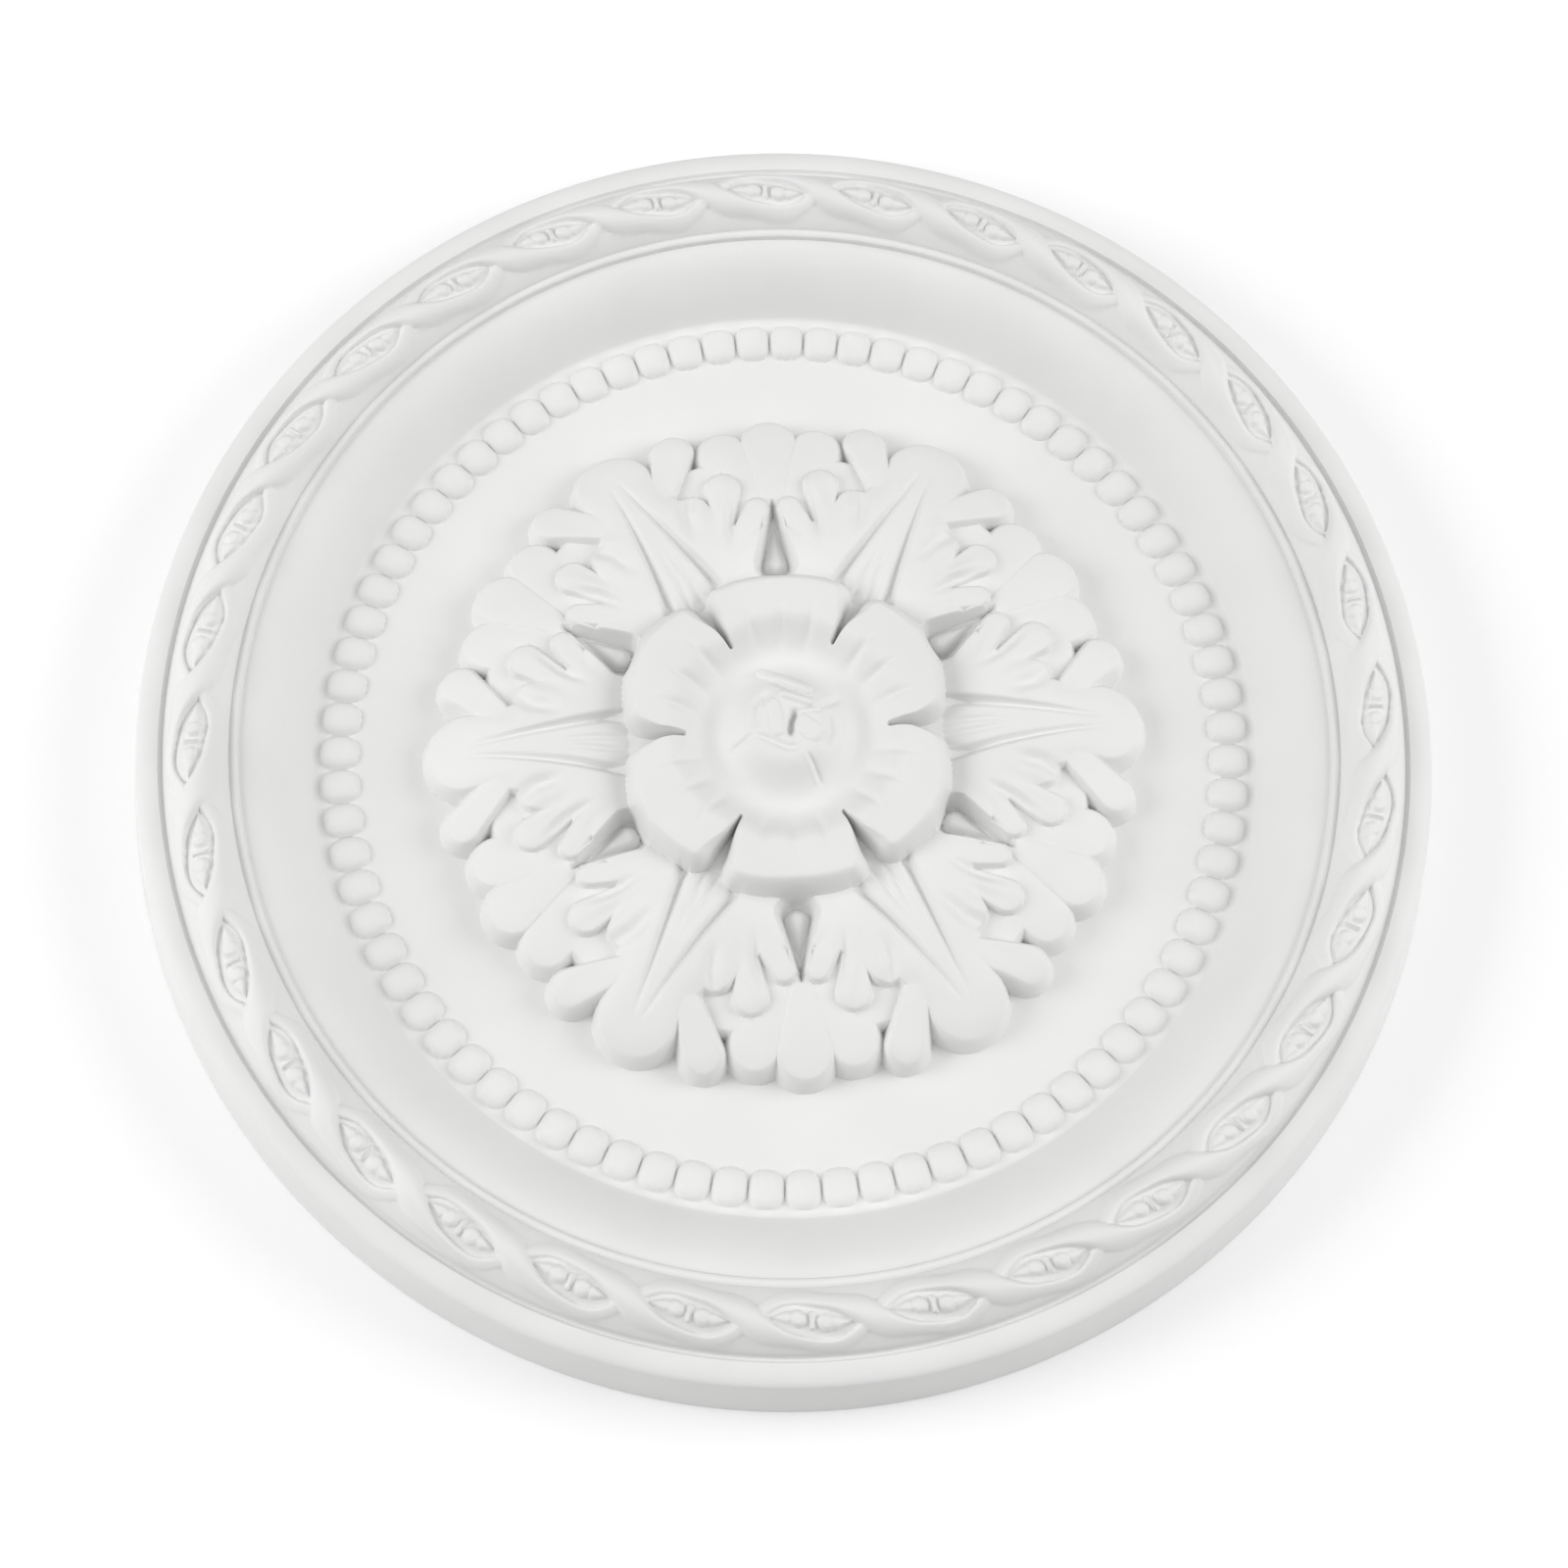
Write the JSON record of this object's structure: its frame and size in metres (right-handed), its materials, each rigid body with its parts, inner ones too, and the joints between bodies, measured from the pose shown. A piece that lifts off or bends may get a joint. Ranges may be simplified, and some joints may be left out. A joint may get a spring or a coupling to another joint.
{
  "type": "ceiling rose",
  "caption": "Round white moulded ceiling rose with a rosette of acanthus leaves and petals, inside a ring of pearls and a rim of twisted ribbons.",
  "frame": {"origin": "centre of the flat back, where it meets the ceiling", "axes": "+Z out of the flat back and through the carved face, +X along the midrib of one of the main leaves, as the rose lies on its back with its face up"},
  "size_m": [0.5, 0.5, 0.045],
  "materials": {
    "white_foam": "rigid polyurethane foam with a smooth white primer coat, satin to matt"
  },
  "bodies": {
    "root": {"moulded_rose": "white_foam"}
  },
  "joints": []
}
